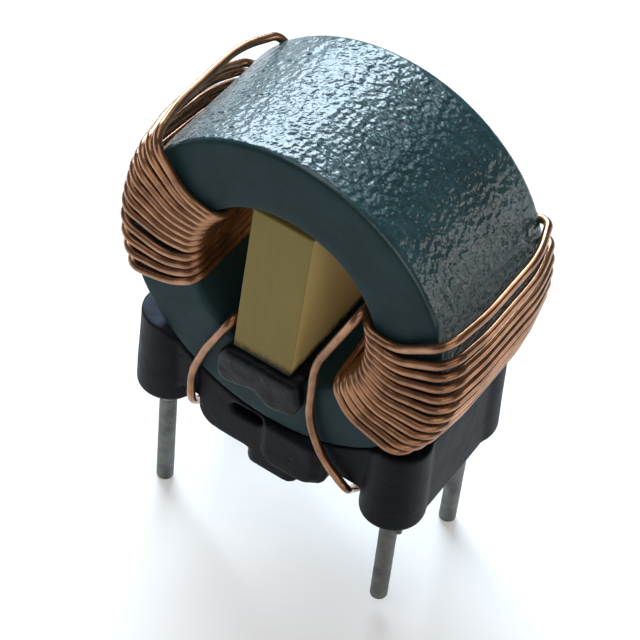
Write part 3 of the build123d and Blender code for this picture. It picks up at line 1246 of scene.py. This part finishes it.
@dataclass
class Divider:
    """The fibre plate between the windings."""

    edge: float = 0.10 * MM
    finish: FibreFinish = FibreFinish()

    def build(self) -> None:
        """Breaks the plate's edges and dresses it."""
        bm = merged_copy("divider_plate")
        bmesh.ops.dissolve_limit(
            bm, angle_limit=radians(2), verts=bm.verts, edges=bm.edges, use_dissolve_boundaries=False
        )
        bmesh.ops.bevel(
            bm, geom=bm.edges[:], offset=self.edge, segments=3, profile=0.5, affect="EDGES", material=-1
        )
        bmesh.ops.triangulate(bm, faces=[f for f in bm.faces if len(f.verts) > 4])
        bm.normal_update()
        plate = finished(bm, "divider_plate_cut", self.finish.material(), Slot.FIBRE, ["divider_plate"])
        weighted = plate.modifiers.new("edges", "WEIGHTED_NORMAL")
        weighted.keep_sharp = False


@dataclass
class Pin:
    """One tinned pin, with its snipped end."""

    place: str
    sides: int = 40
    rings: int = 64
    lump_size: float = 0.7 * MM
    lump_depth: float = 0.022 * MM
    snip: float = 0.16 * MM
    near_tip: float = 0.01 * MM
    finish: TinFinish = TinFinish()

    def build(self) -> None:
        """Makes the pin and dresses it."""
        node = f"pin_{self.place}"
        low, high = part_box(node)
        centre = (low + high) / 2
        bm = round_post(node, PIN_RADIUS, PIN_RADIUS, self.sides, self.rings)
        rim = [e for e in bm.edges if max(v.co.z for v in e.verts) < low.z + self.near_tip]
        bmesh.ops.bevel(
            bm, geom=rim, offset=self.snip, segments=3, profile=0.5, affect="EDGES", material=-1
        )
        push(bm, lambda at: -self.lump_depth * (0.5 + 0.5 * noise.noise((at + centre * 3) / self.lump_size)))
        finished(bm, f"{node}_tinned", self.finish.material(), Slot.PIN, [node])


@dataclass
class SolderJoint:
    """Solder round the root of one pin, under its post."""

    place: str
    tip: float = 0.56 * MM
    top: float = 1.2 * MM
    rings: int = 12
    sides: int = 48
    lump_size: float = 0.8 * MM
    lump_depth: float = 0.06 * MM
    finish: TinFinish = TinFinish(
        name="bright_solder", dull=(0.22, 0.22, 0.21), clean=(0.40, 0.40, 0.39), roughness=0.24,
        lump_size=0.7 * MM, lump_depth=0.04 * MM,
    )

    def build(self) -> None:
        """Makes the joint's cone, roughens it a little and dresses it."""
        node = f"solder_{self.place}"
        low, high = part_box(node)
        centre = (low + high) / 2
        bm = round_post(node, self.tip, self.top, self.sides, self.rings)
        push(bm, lambda at: self.lump_depth * (noise.noise((at + centre) / self.lump_size) - 0.5))
        finished(bm, f"{node}_flow", self.finish.material(), Slot.SOLDER, [node])


# Studio


@dataclass(frozen=True)
class Lamp:
    """A soft rectangular lamp, placed by its direction and distance in metres, with its power in watts."""

    name: str
    towards: Triple
    distance: float
    size: Span
    power: float
    colour: Colour


LAMPS = (
    Lamp("window", (-0.60, 0.60, 0.52), 0.26, (0.19, 0.14), 1.16, (0.72, 0.88, 1.0)),
    Lamp("high_window", (0.0, 0.62, 0.79), 0.30, (0.14, 0.08), 0.125, (0.76, 0.90, 1.0)),
    Lamp("low_window", (-0.82, 0.56, 0.12), 0.30, (0.14, 0.10), 0.045, (0.84, 0.94, 1.0)),
    Lamp("ceiling", (-0.15, -0.15, 0.97), 0.30, (0.22, 0.22), 0.21, (1.0, 0.97, 0.92)),
    Lamp("right_wall", (0.84, 0.52, 0.14), 0.28, (0.10, 0.08), 0.07, (1.0, 0.96, 0.88)),
    Lamp("fill", (0.62, -0.62, 0.40), 0.40, (0.30, 0.30), 0.315, (1.0, 0.96, 0.90)),
)


@dataclass
class Studio:
    """Floor, lights and camera."""

    camera_place: Triple = (0.0454507, -0.0818369, 0.1141489)
    camera_right: Triple = (0.82608, 0.55864, 0.07421)
    camera_up: Triple = (-0.46124, 0.59458, 0.65858)
    lens: float = 144.217
    sensor: float = 36.0
    clip: Span = (0.005, 10.0)
    middle: Triple = (0.0, 0.0, 0.012)
    sky: Colour = (0.93, 0.96, 1.0)
    sky_strength: float = 0.15
    floor_size: float = 2.0
    floor_drop: float = 0.02 * MM

    def floor(self, lowest: float) -> None:
        """Lays the floor under the pins.

        Args:
            lowest: the height of the part's lowest point.
        """
        bm = bmesh.new()
        bmesh.ops.create_grid(bm, x_segments=8, y_segments=8, size=self.floor_size / 2)
        bmesh.ops.translate(bm, verts=bm.verts, vec=(0, 0, lowest - self.floor_drop))
        finished(bm, "floor", FloorFinish().material())

    def hang(self, lamp: Lamp) -> None:
        """Hangs one lamp that looks at the middle of the part.

        Args:
            lamp: the lamp.
        """
        data = bpy.data.lights.new(lamp.name, "AREA")
        data.shape = "RECTANGLE"
        data.size, data.size_y = lamp.size
        data.energy = lamp.power
        data.color = lamp.colour
        towards = Vector(lamp.towards)
        hung = added(lamp.name, data)
        hung.location = Vector(self.middle) + towards.normalized() * lamp.distance
        hung.rotation_mode = "QUATERNION"
        hung.rotation_quaternion = (-towards).to_track_quat("-Z", "Y")

    def surroundings(self) -> None:
        """Adds an even pale surrounding light."""
        world = bpy.data.worlds.new("soft_surroundings")
        bpy.context.scene.world = world
        world.use_nodes = True
        background = world.node_tree.nodes["Background"]
        background.inputs["Color"].default_value = (*self.sky, 1.0)
        background.inputs["Strength"].default_value = self.sky_strength

    def camera(self) -> None:
        """Sets the camera at the photograph's place and angle."""
        data = bpy.data.cameras.new("camera")
        data.lens = self.lens
        data.sensor_width = self.sensor
        data.clip_start, data.clip_end = self.clip
        camera = added("camera", data)
        right = Vector(self.camera_right).normalized()
        leaning = Vector(self.camera_up)
        up = (leaning - right * leaning.dot(right)).normalized()
        turn = Matrix((right, up, right.cross(up))).transposed()
        camera.matrix_world = Matrix.Translation(self.camera_place) @ turn.to_4x4()
        bpy.context.scene.camera = camera

    def build(self, lowest: float) -> None:
        """Sets up the whole studio.

        Args:
            lowest: the height of the part's lowest point.
        """
        self.camera()
        self.floor(lowest)
        self.surroundings()
        for lamp in LAMPS:
            self.hang(lamp)
        bpy.context.scene.view_settings.view_transform = "Standard"
        log.info("studio ready")


def main() -> None:
    """Builds the studio and each piece in order."""
    logging.basicConfig(level=logging.INFO, format="%(name)s: %(message)s")
    Studio().build(CAD_BOX[0].z)
    core = ToroidCore()
    core.build()
    MouldedBase().build()
    Divider().build()
    for end in End:
        GlueBead(end).build()
    for side in Side:
        Winding(side, core).build()
    for end in End:
        for side in Side:
            place = f"{end.value}_{side.name.lower()}"
            Pin(place).build()
            SolderJoint(place).build()


if __name__ == "__main__":
    main()
